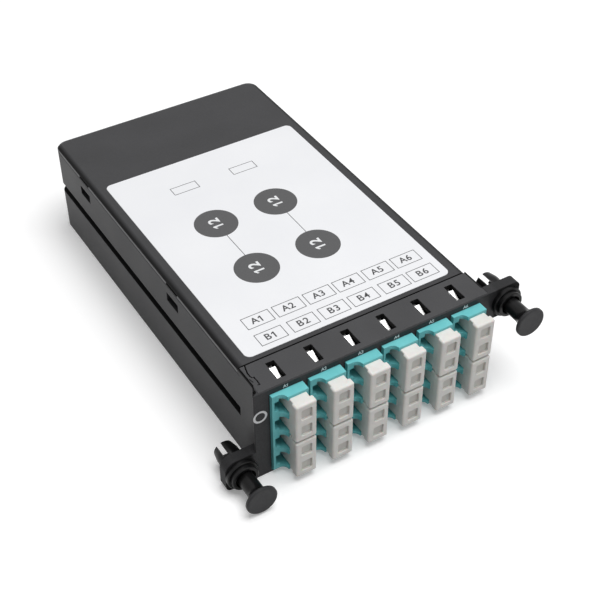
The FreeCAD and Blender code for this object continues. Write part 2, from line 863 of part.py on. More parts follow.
def trunk_cap(node, sign):
    """Dust cap in the outer socket, with a rim to pull it by."""
    body = new_body(node, f"{sign}*trunk_x", "trunk_z")
    half_width = "(trunk_bore_width/2-trunk_play)"
    half_height = "(trunk_bore_height/2-trunk_play)"
    block(
        body,
        "CapPlug",
        ("-" + half_width, half_width),
        (f"{TRUNK_END}-trunk_bore_deep+plug_gap", f"{TRUNK_END}+cap_gap"),
        ("-" + half_height, half_height),
    )
    block(
        body,
        "CapRim",
        ("-trunk_width/2+trunk_cap_in", "trunk_width/2-trunk_cap_in"),
        (f"{TRUNK_END}+cap_gap", f"{TRUNK_END}+cap_gap+trunk_cap_rim"),
        ("-trunk_height/2+trunk_cap_in", "trunk_height/2-trunk_cap_in"),
    )


for name, sign in (("a", -1), ("b", 1)):
    trunk_adapter(f"mpo_adapter_{name}", sign)
    trunk_plug(f"mpo_plug_{name}", sign)
    trunk_cap(f"mpo_dust_cap_{name}", sign)


def route(points, radius):
    """A tube along straight runs joined by tangent arcs, and the radii of its arcs."""
    edges = []
    radii = []
    start = points[0]
    for before, corner, after in zip(points, points[1:], points[2:]):
        back = (before - corner).normalize()
        ahead = (after - corner).normalize()
        turn = math.pi - back.getAngle(ahead)
        shorter = min((before - corner).Length, (after - corner).Length)
        trim = 0.45 * shorter
        arc_radius = trim / math.tan(turn / 2)
        entry = corner + back * trim
        leave = corner + ahead * trim
        inward = (back + ahead).normalize()
        centre = corner + inward * (arc_radius / math.cos(turn / 2))
        middle = centre - inward * arc_radius
        edges.append(Part.LineSegment(start, entry).toShape())
        edges.append(Part.Arc(entry, middle, leave).toShape())
        radii.append(arc_radius)
        start = leave
    edges.append(Part.LineSegment(start, points[-1]).toShape())
    wire = Part.Wire(edges)
    section = Part.Wire(Part.makeCircle(radius, points[0], points[1] - points[0]))
    tube = wire.makePipeShell([section], True, False)
    expected = math.pi * radius * radius * wire.Length
    if abs(tube.Volume - expected) > 0.01 * expected:
        raise ValueError("a fibre leg's volume is off")
    return tube, radii


def fibre_legs(node, sign, rows):
    """Twelve legs from one trunk plug to two rows of plugs."""
    tubes = []
    tightest = []
    trunk_end = size("body_depth") + size("trunk_proud")
    trunk_front = trunk_end - size("trunk_length") - size("trunk_plug_proud")
    for row, step in enumerate(rows):
        rise = size("leg_row") * (0.5 + row)
        start_z = size("trunk_z") - sign * rise
        end_z = port_mid + step * size("port_pitch")
        for column in COLUMNS:
            spread = (column - (count - 1) / 2) * size("leg_pitch")
            start_x = sign * size("trunk_x") + spread
            end_x = (column - (count - 1) / 2) * pitch + size("port_x")
            tube, radii = route(
                [
                    FreeCAD.Vector(start_x, trunk_front, start_z),
                    FreeCAD.Vector(start_x, trunk_front - size("leg_bend"), start_z),
                    FreeCAD.Vector(end_x, size("boot_end") + size("leg_bend"), end_z),
                    FreeCAD.Vector(end_x, size("boot_end"), end_z),
                ],
                size("leg_radius"),
            )
            tubes.append(tube)
            tightest.append(min(radii))
    legs = doc.addObject("Part::Feature", node)
    legs.Label = node
    legs.Shape = Part.makeCompound(tubes)
    legs.Placement = FreeCAD.Placement(
        FreeCAD.Vector(0, -size("body_depth") / 2, 0), FreeCAD.Rotation()
    )
    nodes.append(legs)
    print(node, "smallest bend radius", round(min(tightest), 2))


fibre_legs("fibre_legs_a", -1, (0.5, 1.5))
fibre_legs("fibre_legs_b", 1, (-0.5, -1.5))

doc.recompute()
for thing in doc.Objects:
    if "Invalid" in thing.State or "Error" in thing.State:
        raise RuntimeError(f"{thing.Label} failed: {thing.State}")
for node in nodes:
    if node.Shape.isNull() or not node.Shape.isValid():
        raise RuntimeError(node.Label + " has no valid shape")
for node in nodes:
    node.Shape.exportStep(f"parts/{node.Label}.step")
    box = node.Shape.BoundBox
    print(
        node.Label,
        len(node.Shape.Solids),
        round(node.Shape.Volume, 1),
        [round(v, 2) for v in (box.XMin, box.XMax, box.YMin, box.YMax, box.ZMin, box.ZMax)],
    )
print(len(nodes), "nodes")
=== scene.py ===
import bpy
import json
import math
from mathutils import Matrix, Vector


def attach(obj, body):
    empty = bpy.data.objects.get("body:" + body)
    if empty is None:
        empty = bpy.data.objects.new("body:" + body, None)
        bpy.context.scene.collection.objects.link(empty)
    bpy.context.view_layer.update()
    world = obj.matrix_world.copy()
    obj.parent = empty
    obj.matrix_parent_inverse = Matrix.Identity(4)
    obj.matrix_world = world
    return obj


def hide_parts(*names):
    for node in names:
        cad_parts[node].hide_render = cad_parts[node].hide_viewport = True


# A fibre cassette for a rack panel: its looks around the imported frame. X is across the front, Y runs
# to the rear, Z is up. Lengths are millimetres, turned into metres by MM. Only the camera, the lamps,
# the floor and the scale of noise are given in metres.

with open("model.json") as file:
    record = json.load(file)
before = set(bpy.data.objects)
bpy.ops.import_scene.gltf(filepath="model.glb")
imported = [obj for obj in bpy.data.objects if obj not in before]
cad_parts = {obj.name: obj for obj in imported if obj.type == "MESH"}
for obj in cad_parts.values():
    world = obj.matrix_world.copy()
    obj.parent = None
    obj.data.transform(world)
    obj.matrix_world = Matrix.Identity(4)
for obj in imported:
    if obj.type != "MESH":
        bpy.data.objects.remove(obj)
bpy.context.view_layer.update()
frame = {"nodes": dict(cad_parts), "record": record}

MM = 0.001

# Points closer than this, in metres, are one point.
NEAR = 1e-6

# Places in the frame, and half widths from the middle plane.
FRONT = -60.5
REAR = 60.5
HALF = 33.6
PANEL_HALF = 35.3
EAR_HALF = 43.5
TOP = 28.65
WALL_TOP = 27.6
LID_FRONT = -50.12
LABEL_TOP = 28.775
SHELF_HALF = 33.23
SHELF_UNDER = 27.15
CLIP_SEAT = 26.25

# Columns of ports: PORT_X is how far their bores are to the right of the column's middle.
COLUMNS = range(1, 7)
PITCH = 10.5
PORT_X = 1.45
PORT_MID = 14.0
PORT_PITCH = 6.25

# A dust cap's face, from the front face, and its pockets, from the middle of its column and row.
CAP_FACE = -6.45
POCKET_ACROSS = (0.3, 3.25)
POCKET_RISE = 2.7

# Middles of the fasteners; sides are -1 for left and 1 for right.
FASTENER_X = 39.25
FASTENER_Z = {-1: 4.65, 1: 24.0}

# Middles of the snap windows and trunk ports, and of the round recess at the shelf's left corner.
SNAPS = (44.9, 99.7)
SNAP_HALF = 3.15
TRUNK_X = 14.0
RECESS_X = -34.5
RECESS_Y = 1.4

PANEL_THICK = 3.0
SEAM = 0.25
INK = 0.010
INK_LINE = 0.2

# Where cutters end outside the part; BEHIND and AHEAD are measured from the front face.
ABOVE = 30
BELOW = -1
BEHIND = 122
AHEAD = -1

# A turn of more degrees than this counts as an edge.
EDGE_ANGLE = 35

# Sockets of a Mix node that mixes colours.
MIX_FIRST = 6
MIX_SECOND = 7
MIX_RESULT = 2

BODY_OF = {
    node: body for body, nodes in frame["record"]["behaviour"]["bodies"].items() for node in nodes
}


def mm(*lengths):
    return tuple(length * MM for length in lengths)


def column_x(column):
    """The middle of a column of ports."""
    return (column - 3.5) * PITCH


def socket_name(word):
    return word.replace("_", " ").title().replace("Ior", "IOR")


# Finishes


class Strand:
    """One number or colour that runs from node to node; arithmetic on it adds Math nodes."""

    def __init__(self, finish, socket):
        self.finish = finish
        self.socket = socket

    def maths(self, operation, first, second):
        return self.finish.node("ShaderNodeMath", {"operation": operation}, {0: first, 1: second})

    def __add__(self, other):
        return self.maths("ADD", self, other)

    def __radd__(self, other):
        return self.maths("ADD", other, self)

    def __sub__(self, other):
        return self.maths("SUBTRACT", self, other)

    def __rsub__(self, other):
        return self.maths("SUBTRACT", other, self)

    def __mul__(self, other):
        return self.maths("MULTIPLY", self, other)

    def __rmul__(self, other):
        return self.maths("MULTIPLY", other, self)

    def __rtruediv__(self, other):
        return self.maths("DIVIDE", other, self)

    def __mod__(self, other):
        return self.maths("FLOORED_MODULO", self, other)

    def __abs__(self):
        return self.maths("ABSOLUTE", self, 0)


class Finish:
    """A material around one Principled shader, whose constants are set on the shader itself."""

    def __init__(self, name, **constants):
        self.material = bpy.data.materials.new(name)
        self.material.use_nodes = True
        self.tree = self.material.node_tree
        self.shader = self.tree.nodes["Principled BSDF"]
        for socket, value in constants.items():
            self.shader.inputs[socket_name(socket)].default_value = value
        self.place = self.node("ShaderNodeTexCoord", {}, {}, "Object")

    def node(self, kind, settings, sockets, out=0):
        """Adds a node with these settings and fills its sockets; gives one of its outputs."""
        made = self.tree.nodes.new(kind)
        for name, value in settings.items():
            setattr(made, name, value)
        for key, value in sockets.items():
            if isinstance(value, Strand):
                self.tree.links.new(value.socket, made.inputs[key])
            else:
                made.inputs[key].default_value = value
        return Strand(self, made.outputs[out])

    def noise(self, scale, detail=2.0, roughness=0.5, place=None):
        """Soft noise between about 0.25 and 0.75, with this many blotches in a metre."""
        sockets = {
            "Vector": place or self.place,
            "Scale": scale,
            "Detail": detail,
            "Roughness": roughness,
        }
        return self.node("ShaderNodeTexNoise", {}, sockets)

    def stretched(self, x, y, z):
        """The object's own coordinates, stretched along the axes for streaks."""
        return self.node("ShaderNodeMapping", {}, {"Vector": self.place, "Scale": (x, y, z)})

    def parts(self):
        """The places across, along and up, in millimetres."""
        split = self.node("ShaderNodeSeparateXYZ", {}, {0: self.place}).socket.node
        return [Strand(self, socket) * 1000 for socket in split.outputs]

    def largest(self, first, *others):
        for other in others:
            first = self.node("ShaderNodeMath", {"operation": "MAXIMUM"}, {0: first, 1: other})
        return first

    def between(self, strand, low, high):
        """The strand spread so that low becomes 0 and high becomes 1, and no further."""
        sockets = {"Value": strand, "From Min": low, "From Max": high}
        return self.node("ShaderNodeMapRange", {"clamp": True}, sockets)

    def band(self, strand, rise, fall):
        """From 0 to 1 over the first two limits, and back to 0 over the other two."""
        return self.between(strand, *rise) * self.between(strand, fall[1], fall[0])

    def tint(self, share, first, second):
        """From the first colour to the second as the share goes from 0 to 1."""
        sockets = {0: share}
        for key, colour in ((MIX_FIRST, first), (MIX_SECOND, second)):
            sockets[key] = colour if isinstance(colour, Strand) else (*colour, 1)
        return self.node("ShaderNodeMix", {"data_type": "RGBA"}, sockets, MIX_RESULT)

    def dents(self, height, depth):
        """Bumps this deep, in millimetres."""
        sockets = {"Height": height, "Distance": depth * MM, "Strength": 1.0}
        return self.node("ShaderNodeBump", {}, sockets)

    def feed(self, **sockets):
        for name, strand in sockets.items():
            self.tree.links.new(strand.socket, self.shader.inputs[socket_name(name)])
        return self


def squared(strand):
    return strand * strand


def grained_plastic(name, dark, light, rough, grain, depth, shaded, painted_highlight=None):
    """Moulded plastic with a spark-eroded grain: colour and gloss drift a little over the piece.

    It goes black where shaded gives 1, a painted shade, and paler where the second mask gives 1, a
    painted highlight.
    """
    gloss_drift = 0.08
    finish = Finish(name, ior=1.5, specular_ior_level=0.17)
    drift = finish.between(finish.noise(70, 3.0), 0.3, 0.7)
    fine = finish.noise(grain, 3.0, 0.6)
    coarse = finish.noise(grain / 3.5, 2.0)
    colour = finish.tint(drift * 0.6 + finish.between(fine, 0.35, 0.7) * 0.4, dark, light)
    # Painted highlight: paler where the second mask gives 1.
    if painted_highlight:
        colour = finish.tint(painted_highlight(finish), colour, (0.17, 0.17, 0.173))
    # Painted shade: black where shaded gives 1.
    painted_shade = shaded(finish)
    colour = finish.tint(painted_shade, colour, (0.002, 0.002, 0.002))
    gloss = rough - gloss_drift / 2 + gloss_drift * drift + 0.4 * painted_shade
    bumps = finish.dents(fine * 0.7 + coarse * 0.3, depth)
    return finish.feed(base_color=colour, roughness=gloss, normal=bumps)


def tray_shade(finish):
    """Painted shade, 1 in the rail grooves, the notches and the gap and recess at the shelf's left
    end.

    The line below the rim and the ears go part of the way.
    """
    across, y, z = finish.parts()
    x = abs(across)
    wall = finish.band(x, (32.0, 32.05), (33.55, 33.59))
    groove = wall * finish.between(y, -50.9, -50.8) * finish.band(z, (12.68, 12.72), (15.78, 15.82))
    flare = (y - FRONT) * ((PANEL_HALF - HALF) / PANEL_THICK)
    past = x - finish.largest(PANEL_HALF - flare, HALF)
    gap = finish.band(past, (-0.52, -0.46), (0.04, 0.08)) * finish.between(z, 28.1, 28.2)
    gap = gap * finish.band(y, (-60.3, -60.2), (-50.3, -50.2)) * finish.between(across, 0, -1)
    away = squared(across - RECESS_X) + squared(y - (FRONT + RECESS_Y)) + squared(z - 27.95)
    recess = finish.between(away, 1.2, 0.95)
    line = finish.between(x, 33.3, 33.35) * finish.band(z, (26.72, 26.78), (26.94, 27.0))
    line = line * finish.between(y, -51.5, -51.0) * 0.45
    from_middle = abs(y - (FRONT + sum(SNAPS) / 2))
    from_snap = abs(from_middle - (SNAPS[1] - SNAPS[0]) / 2)
    notch = finish.between(from_snap, SNAP_HALF + 0.05, SNAP_HALF - 0.05)
    notch = notch * finish.band(z, (27.16, 27.22), (27.35, 27.4))
    ear_face = finish.between(y, FRONT + 0.3, FRONT + 0.05)
    ear = finish.between(x, 35.5, 36.5) * (0.35 + 0.55 * ear_face)
    return finish.largest(groove, gap, recess, line, notch, ear)


def tray_rim_highlight(finish):
    """1 on the rim of the side walls, where a highlight is painted."""
    x, y, z = finish.parts()
    rim = finish.between(abs(x), 33.3, 33.4) * finish.between(z, 27.12, 27.3)
    return rim * finish.between(y, -50.25, -50.15)


def lid_shade(finish):
    """Painted shade, up to 1 along the lid's rolled side edges and down its front edge."""
    x, y, z = finish.parts()
    seam = finish.between(y, -50.00, -50.08) * finish.between(z, 28.58, 28.45)
    return finish.largest(seam, finish.between(abs(x), 31.9, 33.1) * 0.9)


def shelf_shade(finish):
    """Painted shade, 1 in the windows and moulded lines of the shelf, below its top."""
    up = finish.parts()[2]
    return finish.between(up, 28.56, 28.45)


def moulded_black():
    dark, light = (0.015, 0.015, 0.016), (0.044, 0.044, 0.0465)
    return grained_plastic("moulded_black", dark, light, 0.46, 3000, 0.02, tray_shade, tray_rim_highlight)


def lid_black():
    dark, light = (0.037, 0.037, 0.0388), (0.053, 0.053, 0.0555)
    return grained_plastic("lid_black", dark, light, 0.46, 2600, 0.016, lid_shade)


def shelf_black():
    dark, light = (0.050, 0.050, 0.0522), (0.068, 0.068, 0.0708)
    return grained_plastic("shelf_black", dark, light, 0.42, 3000, 0.012, shelf_shade)


def fastener_black():
    """Nylon of fasteners and trunk caps: smooth, faintly streaked along Y, paler on the knobs as
    painted light.
    """
    finish = Finish("fastener_black", ior=1.53, specular_ior_level=0.16)
    y = finish.parts()[1]
    streak = finish.noise(900, 2.0, place=finish.stretched(1, 0.12, 1))
    fine = finish.noise(3800, 2.0)
    flow = finish.between(streak, 0.3, 0.7)
    body = finish.tint(flow, (0.003, 0.003, 0.003), (0.008, 0.008, 0.0085))
    knob = finish.tint(flow, (0.026, 0.026, 0.0275), (0.036, 0.036, 0.038))
    # Painted light: the knobs are paler than the shafts and grommets, which stand in shade.
    ends = finish.between(abs(y), 69.9, 70.3) * finish.between(y, 0, -1)
    colour = finish.tint(ends, body, knob)
    gloss = 0.24 + 0.12 * streak + 0.14 * ends
    return finish.feed(base_color=colour, roughness=gloss, normal=finish.dents(fine, 0.006))


def adapter_aqua():
    """Aqua adapter plastic: semi-gloss, faintly cloudy, with painted shade, near black, under the
    shelf's windows.
    """
    finish = Finish("adapter_aqua", ior=1.5, specular_ior_level=0.25)
    y, z = finish.parts()[1:]
    cloud = finish.between(finish.noise(240, 3.0), 0.3, 0.7)
    fine = finish.noise(4200, 2.0)
    colour = finish.tint(cloud, (0.135, 0.510, 0.530), (0.175, 0.570, 0.590))
    # Painted shade: the top behind the panel, seen through the shelf's windows, goes near black.
    under = finish.between(z, 26.0, 26.1) * finish.band(y, (-57.7, -57.5), (-51, -49))
    colour = finish.tint(under, colour, (0.002, 0.003, 0.003))
    gloss = 0.30 + 0.10 * cloud + 0.4 * under
    return finish.feed(base_color=colour, roughness=gloss, normal=finish.dents(fine, 0.006))


def cap_grey():
    """Soft pale plastic of the dust caps, satin and faintly cloudy, with painted shade down in the
    pockets.
    """
    finish = Finish("cap_grey", ior=1.46, subsurface_weight=0.12, subsurface_scale=0.0012)
    x, y, z = finish.parts()
    cloud = finish.between(finish.noise(330, 4.0, 0.6), 0.3, 0.7)
    fine = finish.noise(2600, 3.0)
    colour = finish.tint(cloud, (0.700, 0.688, 0.655), (0.760, 0.748, 0.715))
    across = abs(x % PITCH - PITCH / 2 - sum(POCKET_ACROSS) / 2)
    up = abs(abs(abs(z - PORT_MID) - PORT_PITCH) - POCKET_RISE)
    pocket = finish.between(across, 1.62, 1.45) * finish.between(up, 1.75, 1.55)
    pocket = pocket * finish.band(y, (FRONT - 6.42, FRONT - 6.1), (FRONT - 5.7, FRONT - 5.5))
    # Painted shade in the pockets.
    colour = finish.tint(pocket * 0.9, colour, (0.60, 0.588, 0.553))
    gloss = 0.44 + 0.10 * fine
    return finish.feed(base_color=colour, roughness=gloss, normal=finish.dents(fine, 0.010))


def label_film():
    """White printed film, very slightly uneven under the light."""
    finish = Finish("label_film", ior=1.45)
    cloud = finish.between(finish.noise(45, 3.0), 0.3, 0.7)
    fine = finish.noise(5200, 2.0)
    colour = finish.tint(cloud, (0.795, 0.802, 0.822), (0.830, 0.836, 0.852))
    gloss = 0.50 + 0.08 * fine
    return finish.feed(base_color=colour, roughness=gloss, normal=finish.dents(fine, 0.003))


def printed(name, dark, light, rough):
    """Printing ink: its cover is faintly mottled."""
    finish = Finish(name)
    mottle = finish.between(finish.noise(3600, 3.0, 0.7), 0.3, 0.7)
    colour = finish.tint(mottle, dark, light)
    return finish.feed(base_color=colour, roughness=rough + 0.08 * mottle)


def spring_sheet():
    """Bright spring sheet with a rolled grain along the strip."""
    finish = Finish("spring_sheet", metallic=0.55)
    rolled = finish.noise(5200, 3.0, place=finish.stretched(1, 0.06, 1))
    colour = finish.tint(finish.between(rolled, 0.3, 0.7), (0.80, 0.80, 0.79), (0.90, 0.90, 0.89))
    gloss = 0.30 + 0.16 * rolled
    return finish.feed(base_color=colour, roughness=gloss, normal=finish.dents(rolled, 0.002))


def inner_plastic(name, blotches, grain, dark, light, rough, depth):
    """Plastic of the pieces inside the tray, faintly cloudy."""
    finish = Finish(name, ior=1.5)
    cloud = finish.between(finish.noise(blotches, 3.0), 0.3, 0.7)
    fine = finish.noise(grain, 2.0)
    colour = finish.tint(cloud, dark, light)
    gloss = rough + 0.1 * fine
    return finish.feed(base_color=colour, roughness=gloss, normal=finish.dents(fine, depth))


def plug_beige():
    dark, light = (0.52, 0.47, 0.38), (0.60, 0.55, 0.46)
    return inner_plastic("plug_beige", 300, 3600, dark, light, 0.34, 0.006)


def jacket_aqua():
    dark, light = (0.10, 0.42, 0.43), (0.14, 0.50, 0.50)
    return inner_plastic("jacket_aqua", 420, 6000, dark, light, 0.40, 0.004)


BLACK = moulded_black()
LID = lid_black()
SHELF = shelf_black()
NYLON = fastener_black()
AQUA = adapter_aqua()
CAP = cap_grey()
FILM = label_film()
GREY_INK = printed("grey_ink", (0.056, 0.056, 0.058), (0.074, 0.074, 0.076), 0.50)
DARK_INK = printed("dark_ink", (0.036, 0.036, 0.038), (0.052, 0.052, 0.055), 0.50)
WHITE_INK = printed("white_ink", (0.72, 0.73, 0.74), (0.80, 0.81, 0.82), 0.48)
PALE_INK = printed("pale_ink", (0.64, 0.64, 0.65), (0.74, 0.74, 0.75), 0.48)
SPRING = spring_sheet()
BEIGE = plug_beige()
JACKET = jacket_aqua()


# Ways of making pieces


def rest():
    """Object mode with nothing selected."""
    if bpy.context.mode != "OBJECT":
        bpy.ops.object.mode_set(mode="OBJECT")
    bpy.ops.object.select_all(action="DESELECT")


def take(piece):
    rest()
    piece.select_set(True)
    bpy.context.view_layer.objects.active = piece


def added(name, sizes=(1, 1, 1)):
    """Names what was just added, gives it these sizes and puts its place into its mesh."""
    piece = bpy.context.object
    piece.name = name
    piece.data.name = name
    piece.scale = sizes
    bpy.ops.object.transform_apply(location=True, rotation=True, scale=True)
    return piece


def edit(piece, whole=True):
    take(piece)
    bpy.ops.object.mode_set(mode="EDIT")
    bpy.ops.mesh.select_all(action="SELECT" if whole else "DESELECT")


def pick(piece, mode, wanted):
    """In edit mode, selects the vertices or edges that the function wants."""
    edit(piece, whole=False)
    bpy.ops.mesh.select_mode(type=mode)
    bpy.ops.object.mode_set(mode="OBJECT")
    points = piece.data.vertices
    for item in points if mode == "VERT" else piece.data.edges:
        corners = [item.co] if mode == "VERT" else [points[n].co for n in item.vertices]
        item.select = bool(wanted(corners))
    bpy.ops.object.mode_set(mode="EDIT")


def closed(piece):
    """Merges doubles and turns all faces outwards."""
    edit(piece)
    bpy.ops.mesh.remove_doubles(threshold=NEAR)
    bpy.ops.mesh.normals_make_consistent(inside=False)
    rest()
    return piece


def shaped(piece, kind, **settings):
    """Adds a modifier with these settings and applies it."""
    take(piece)
    made = piece.modifiers.new(kind.title(), kind)
    for name, value in settings.items():
        setattr(made, name, value)
    bpy.ops.object.modifier_apply(modifier=made.name)
    return piece


def smooth(piece, angle=EDGE_ANGLE):
    take(piece)
    bpy.ops.object.shade_smooth_by_angle(angle=math.radians(angle))
    return shaped(piece, "WEIGHTED_NORMAL", keep_sharp=True)


def soften(piece, width, steps=2):
    """Rounds every edge of the piece."""
    shaped(
        piece,
        "BEVEL",
        width=width * MM,
        segments=steps,
        limit_method="ANGLE",
        angle_limit=math.radians(EDGE_ANGLE),
        miter_outer="MITER_ARC",
    )
    return smooth(piece)


def joined(name, pieces):
    """One piece made of several."""
    rest()
    for piece in pieces:
        piece.select_set(True)
    bpy.context.view_layer.objects.active = pieces[0]
    bpy.ops.object.join()
    whole = bpy.context.object
    whole.name = name
    whole.data.name = name
    return whole


def belongs(piece, finish, body="cassette", nodes=()):
    """Gives the piece its finish, its body and the CAD nodes that it stands for."""
    piece.data.materials.clear()
    piece.data.materials.append(finish.material)
    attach(piece, body)
    if nodes:
        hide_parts(*nodes)


def slab(name, across, along, up):
    """A block between two limits on each axis; along is measured from the front face."""
    rest()
    middle = (sum(across) / 2, FRONT + sum(along) / 2, sum(up) / 2)
    bpy.ops.mesh.primitive_cube_add(size=1, location=mm(*middle))
    sizes = mm(across[1] - across[0], along[1] - along[0], up[1] - up[0])
    return added(name, sizes)


def drum(name, radius, x, along, z, steps=32):
    """A cylinder along Y; along is measured from the front face."""
    rest()
    bpy.ops.mesh.primitive_cylinder_add(
        vertices=steps,
        radius=radius * MM,
        depth=(along[1] - along[0]) * MM,
        location=mm(x, FRONT + sum(along) / 2, z),
        rotation=(math.pi / 2, 0, 0),
    )
    return added(name)


def post(name, radius, x, y, up, steps=32):
    """An upright cylinder; y is measured from the front face."""
    rest()
    bpy.ops.mesh.primitive_cylinder_add(
        vertices=steps,
        radius=radius * MM,
        depth=(up[1] - up[0]) * MM,
        location=mm(x, FRONT + y, sum(up) / 2),
    )
    return added(name)


def leaf(name, points):
    """A flat face whose corners, in millimetres, are put one by one where they belong."""
    rest()
    bpy.ops.mesh.primitive_circle_add(vertices=len(points), fill_type="NGON")
    piece = added(name)
    for vertex, point in zip(piece.data.vertices, points):
        vertex.co = mm(*point)
    return piece


def prism(name, points, way):
    """That flat face drawn out by a distance on each axis."""
    piece = leaf(name, points)
    edit(piece)
    bpy.ops.mesh.extrude_region_move(TRANSFORM_OT_translate={"value": mm(*way)})
    return closed(piece)


def carved(piece, *cutters):
    """Cuts all the cutters out of the piece, and removes them."""
    tool = joined("cutter", list(cutters)) if len(cutters) > 1 else cutters[0]
    shaped(piece, "BOOLEAN", operation="DIFFERENCE", object=tool, solver="EXACT", use_self=True)
    bpy.data.objects.remove(tool)


def fused(piece, *others):
    """Makes one closed skin of the piece and the others."""
    for other in others:
        shaped(piece, "BOOLEAN", operation="UNION", object=other, solver="EXACT")
        bpy.data.objects.remove(other)


def rounded(piece, radius, steps, wanted):
    """Rounds the edges that the function picks."""
    pick(piece, "EDGE", wanted)
    bpy.ops.mesh.bevel(offset=radius * MM, segments=steps, affect="EDGES")
    rest()


def level_with(corners, axis, place):
    """True where all these corners lie at one place on that axis."""
    return all(abs(corner[axis] - place * MM) < NEAR for corner in corners)


def along_axis(corners, axis):
    """True for an edge that runs along that axis."""
    return all(abs(corners[0][n] - corners[1][n]) < NEAR for n in range(3) if n != axis)


def turned(name, profile, x, z, steps=48):
    """A profile of radius and place, from the front face, spun about a line along Y."""
    outline = leaf(name, [(x + radius, FRONT + place, z) for radius, place in profile])
    edit(outline)
    bpy.ops.mesh.delete(type="ONLY_FACE")
    bpy.ops.mesh.select_all(action="SELECT")
    bpy.ops.mesh.spin(steps=steps, angle=math.tau, center=mm(x, FRONT, z), axis=(0, 1, 0))
    return closed(outline)


def repeated(piece, name, x, z):
    """A copy of the piece, with its own mesh, moved across and up."""
    twin = bpy.data.objects.new(name, piece.data.copy())
    bpy.context.scene.collection.objects.link(twin)
    twin.data.name = name
    twin.data.transform(Matrix.Translation(mm(x, 0, z)))
    return twin


def copies(pattern, stem, node_stem, finish, level=0.0):
    """A copy of the pattern in each column, in place of that column's CAD node."""
    for column in COLUMNS:
        node = f"{node_stem}{column}"
        piece = repeated(pattern, f"{stem}{column}", column_x(column), level)
        belongs(piece, finish, BODY_OF[node], [node])


def one_side(side, inner, outer):
    """Limits across, on the left or right side, from two distances from the middle plane."""
    return sorted((side * inner, side * outer))


# Camera, light and floor


def look():
    """The photograph's view, with the place, direction and lens that were solved from it."""
    camera = bpy.data.cameras.new("camera")
    camera.lens = 72.71
    camera.sensor_width = 36
    camera.clip_start = 0.01
    seen = bpy.data.objects.new("camera", camera)
    bpy.context.scene.collection.objects.link(seen)
    ahead = Vector((0.3876, 0.6402, -0.6632)).normalized()
    right = ahead.cross(Vector((0.3485, 0.5643, 0.7484))).normalized()
    up = right.cross(ahead)
    turn = Matrix((right, up, -ahead)).transposed()
    place = Matrix.Translation((-0.12633, -0.23229, 0.23059))
    seen.matrix_world = place @ turn.to_4x4()
    bpy.context.scene.camera = seen
    bpy.context.scene.view_settings.view_transform = "Standard"


def softbox(name, place, aim, width, height, watts):
    light = bpy.data.lights.new(name, "AREA")
    light.shape = "RECTANGLE"
    light.size = width
    light.size_y = height
    light.energy = watts
    lamp = bpy.data.objects.new(name, light)
    bpy.context.scene.collection.objects.link(lamp)
    lamp.location = place
    lamp.rotation_euler = (Vector(aim) - Vector(place)).to_track_quat("-Z", "Y").to_euler()


def seen_directly(tree):
    """1 where the camera sees, also in gloss and through glass, and 0 for light that is shed."""
    path = tree.nodes.new("ShaderNodeLightPath")
    first = tree.nodes.new("ShaderNodeMath")
    first.operation = "MAXIMUM"
    second = tree.nodes.new("ShaderNodeMath")
    second.operation = "MAXIMUM"
    tree.links.new(path.outputs["Is Camera Ray"], first.inputs[0])
    tree.links.new(path.outputs["Is Glossy Ray"], first.inputs[1])
    tree.links.new(first.outputs[0], second.inputs[0])
    tree.links.new(path.outputs["Is Transmission Ray"], second.inputs[1])
    return second.outputs[0]


def studio():
    softbox("overhead", (0.10, -0.12, 0.75), (0, 0, 0), 0.55, 0.55, 5.2)
    softbox("front", (0.15, -0.75, 0.30), (0, -0.05, 0.01), 0.40, 0.30, 0.5)
    world = bpy.data.worlds.new("studio")
    bpy.context.scene.world = world
    world.use_nodes = True
    sky = world.node_tree.nodes["Background"]
    mix = world.node_tree.nodes.new("ShaderNodeMix")
    mix.data_type = "RGBA"
    mix.inputs[MIX_FIRST].default_value = (0.24, 0.24, 0.243, 1)
    mix.inputs[MIX_SECOND].default_value = (1, 1, 1, 1)
    world.node_tree.links.new(seen_directly(world.node_tree), mix.inputs[0])
    world.node_tree.links.new(mix.outputs[MIX_RESULT], sky.inputs["Color"])
    rest()
    bpy.ops.mesh.primitive_plane_add(size=6, location=(0, 0, -0.0001))
    floor = added("floor")
    ground = Finish("floor", roughness=0.9, emission_strength=1.0)
    share = Strand(ground, seen_directly(ground.tree))
    x, y = ground.parts()[:2]
    # The floor's own glow makes up for the overhead lamp, 750 mm up, whose light falls off outwards.
    lamp_high = 750
    fall_off = lamp_high**2 / (x * x + y * y + lamp_high**2)
    glow = ground.tint(squared(fall_off), (0.96, 0.96, 0.96), (0.20, 0.20, 0.20))
    ground.feed(
        base_color=ground.tint(share, (0.42, 0.42, 0.42), (0.90, 0.90, 0.90)),
        emission_color=ground.tint(share, (0, 0, 0), glow),
    )
    floor.data.materials.append(ground.material)


# The label and its print


def label_sheet():
    wide, long, corner = 60.2, 81.0, 1.7
    start = 11.67
    rest()
    bpy.ops.mesh.primitive_plane_add(size=1, location=mm(0, FRONT + start + long / 2, TOP))
    sheet = added("label", mm(wide, long, 1))
    edit(sheet)
    bpy.ops.mesh.bevel(offset=corner * MM, segments=10, affect="VERTICES")
    bpy.ops.mesh.extrude_region_move(TRANSFORM_OT_translate={"value": mm(0, 0, LABEL_TOP - TOP)})
    closed(sheet)
    belongs(smooth(sheet), FILM, nodes=["label_sheet"])


def outlined_box(left, right, front, rear):
    """A thin printed rectangle on the label, as a raised film of ink."""
    rest()
    middle = mm((left + right) / 2, (front + rear) / 2, LABEL_TOP)
    bpy.ops.mesh.primitive_plane_add(size=1, location=middle)
    box = added("box", mm(right - left, rear - front, 1))
    edit(box)
    bpy.ops.mesh.inset(thickness=INK_LINE * MM)
    bpy.ops.mesh.delete(type="FACE")
    rest()
    return shaped(box, "SOLIDIFY", thickness=INK * MM, offset=1)


